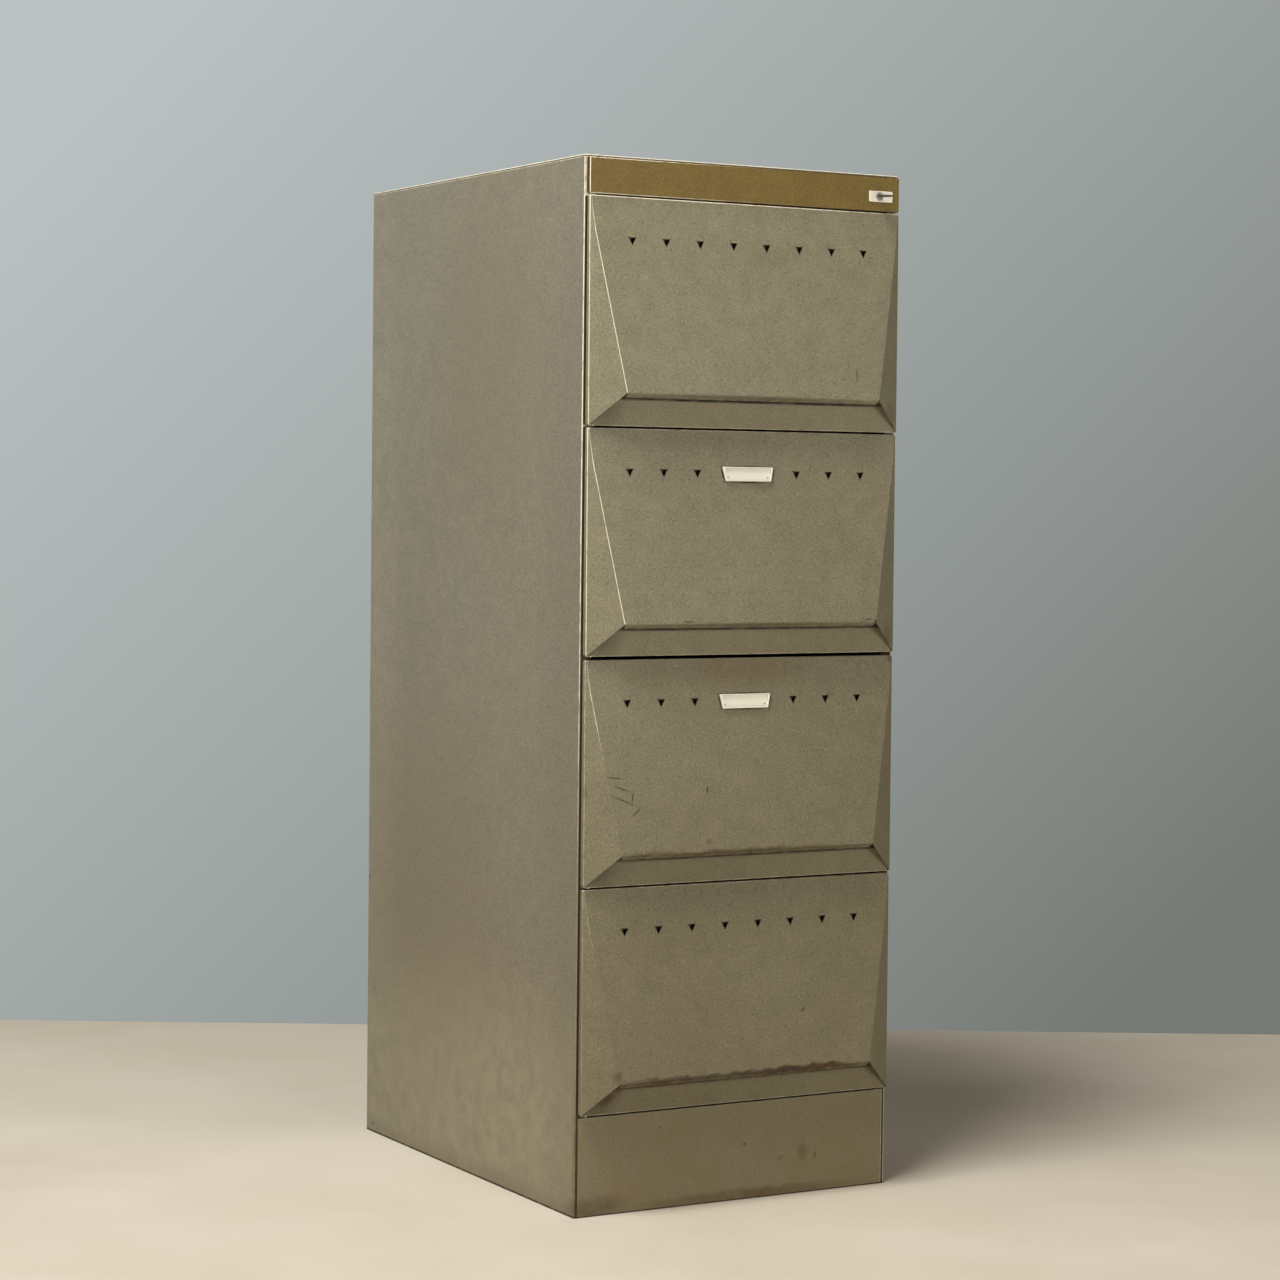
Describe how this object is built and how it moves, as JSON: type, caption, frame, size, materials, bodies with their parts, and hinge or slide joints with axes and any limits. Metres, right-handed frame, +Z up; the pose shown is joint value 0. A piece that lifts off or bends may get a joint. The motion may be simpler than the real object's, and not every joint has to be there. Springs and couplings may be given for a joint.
{
  "type": "filing cabinet",
  "caption": "Tall sheet-steel vertical filing cabinet with leaning drawer fronts, recessed finger pulls, a lock bar that holds every drawer, and drawers on cradle runners.",
  "frame": {"origin": "on the floor under the middle of the case, at the underside of the base pan", "axes": "+Z up, the drawers open towards -Y, +X to the right seen from the front"},
  "size_m": [0.463, 0.6545, 1.32],
  "materials": {
    "case_enamel": "worn satin stove enamel",
    "front_enamel": "worn satin stove enamel",
    "pull_enamel": "worn satin stove enamel, grimy",
    "tray_enamel": "satin stove enamel",
    "fascia_paint": "satin paint, worn pale at the edges",
    "case_runner_steel": "zinc plated",
    "slide_steel": "zinc plated",
    "bar_steel": "zinc plated",
    "lock_metal": "dull nickel plate",
    "key_steel": "dull nickel plate",
    "lock_plate_plastic": "smooth",
    "label_plastic": "smooth, aged cream",
    "card": "plain card",
    "glide_nylon": "natural nylon",
    "buffer_rubber": "matt"
  },
  "bodies": {
    "case": {"left_side_panel": "case_enamel", "right_side_panel": "case_enamel", "back_panel": "case_enamel", "top_panel": "case_enamel", "base_pan": "case_enamel", "plinth_front": "case_enamel", "front_left_upright": "case_enamel", "front_right_upright": "case_enamel", "rear_uprights": "case_enamel", "fascia_rail": "case_enamel", "fascia_cover": "fascia_paint", "case_runners": "case_runner_steel", "rear_buffers": "buffer_rubber", "lock_plate": "lock_plate_plastic", "lock_housing": "lock_metal", "lock_nut": "lock_metal", "lock_bar_guides": "case_runner_steel"},
    "drawer_1": {"drawer_1_front": "front_enamel", "drawer_1_pull_plate": "pull_enamel", "drawer_1_inner_front": "tray_enamel", "drawer_1_tray": "tray_enamel", "drawer_1_runners": "slide_steel", "drawer_1_lock_catch": "tray_enamel"},
    "cradle_1": {"drawer_1_cradle": "slide_steel", "drawer_1_glides": "glide_nylon"},
    "drawer_2": {"drawer_2_front": "front_enamel", "drawer_2_pull_plate": "pull_enamel", "drawer_2_inner_front": "tray_enamel", "drawer_2_tray": "tray_enamel", "drawer_2_runners": "slide_steel", "drawer_2_lock_catch": "tray_enamel", "drawer_2_label_holder": "label_plastic", "drawer_2_label_card": "card"},
    "cradle_2": {"drawer_2_cradle": "slide_steel", "drawer_2_glides": "glide_nylon"},
    "drawer_3": {"drawer_3_front": "front_enamel", "drawer_3_pull_plate": "pull_enamel", "drawer_3_inner_front": "tray_enamel", "drawer_3_tray": "tray_enamel", "drawer_3_runners": "slide_steel", "drawer_3_lock_catch": "tray_enamel", "drawer_3_label_holder": "label_plastic", "drawer_3_label_card": "card"},
    "cradle_3": {"drawer_3_cradle": "slide_steel", "drawer_3_glides": "glide_nylon"},
    "drawer_4": {"drawer_4_front": "front_enamel", "drawer_4_pull_plate": "pull_enamel", "drawer_4_inner_front": "tray_enamel", "drawer_4_tray": "tray_enamel", "drawer_4_runners": "slide_steel", "drawer_4_lock_catch": "tray_enamel"},
    "cradle_4": {"drawer_4_cradle": "slide_steel", "drawer_4_glides": "glide_nylon"},
    "lock_bar": {"lock_bar": "bar_steel", "lock_bar_head": "bar_steel", "lock_bar_hooks": "bar_steel"},
    "lock": {"lock_plug": "lock_metal", "lock_cam": "lock_metal", "lock_cam_screw": "lock_metal"},
    "key": {"key": "key_steel"}
  },
  "joints": [
    {"name": "drawer_1_slide", "type": "slide", "parent": "case", "child": "drawer_1", "axis": [0, -1, 0], "range_m": [0, 0.56]},
    {"name": "cradle_1_slide", "type": "slide", "parent": "case", "child": "cradle_1", "axis": [0, -1, 0], "range_m": [0, 0.2801]},
    {"name": "drawer_2_slide", "type": "slide", "parent": "case", "child": "drawer_2", "axis": [0, -1, 0], "range_m": [0, 0.56]},
    {"name": "cradle_2_slide", "type": "slide", "parent": "case", "child": "cradle_2", "axis": [0, -1, 0], "range_m": [0, 0.2801]},
    {"name": "drawer_3_slide", "type": "slide", "parent": "case", "child": "drawer_3", "axis": [0, -1, 0], "range_m": [0, 0.56]},
    {"name": "cradle_3_slide", "type": "slide", "parent": "case", "child": "cradle_3", "axis": [0, -1, 0], "range_m": [0, 0.2801]},
    {"name": "drawer_4_slide", "type": "slide", "parent": "case", "child": "drawer_4", "axis": [0, -1, 0], "range_m": [0, 0.56]},
    {"name": "cradle_4_slide", "type": "slide", "parent": "case", "child": "cradle_4", "axis": [0, -1, 0], "range_m": [0, 0.2801]},
    {"name": "lock_bar_slide", "type": "slide", "parent": "case", "child": "lock_bar", "axis": [0, 0, -1], "range_m": [0, 0.012]},
    {"name": "lock_turn", "type": "hinge", "parent": "case", "child": "lock", "pos_m": [0.197, -0.311, 1.291], "axis": [0, 1, 0], "range_deg": [0, 90.1]},
    {"name": "key_pull", "type": "slide", "parent": "lock", "child": "key", "axis": [0, -1, 0], "range_m": [0, 0.03]}
  ],
  "couplings": [
    {"joint": "cradle_1_slide", "follows": "drawer_1_slide", "ratio": 0.5},
    {"joint": "cradle_2_slide", "follows": "drawer_2_slide", "ratio": 0.5},
    {"joint": "cradle_3_slide", "follows": "drawer_3_slide", "ratio": 0.5},
    {"joint": "cradle_4_slide", "follows": "drawer_4_slide", "ratio": 0.5},
    {"joint": "lock_turn", "follows": "lock_bar_slide", "rad_per_m": 130.9}
  ]
}
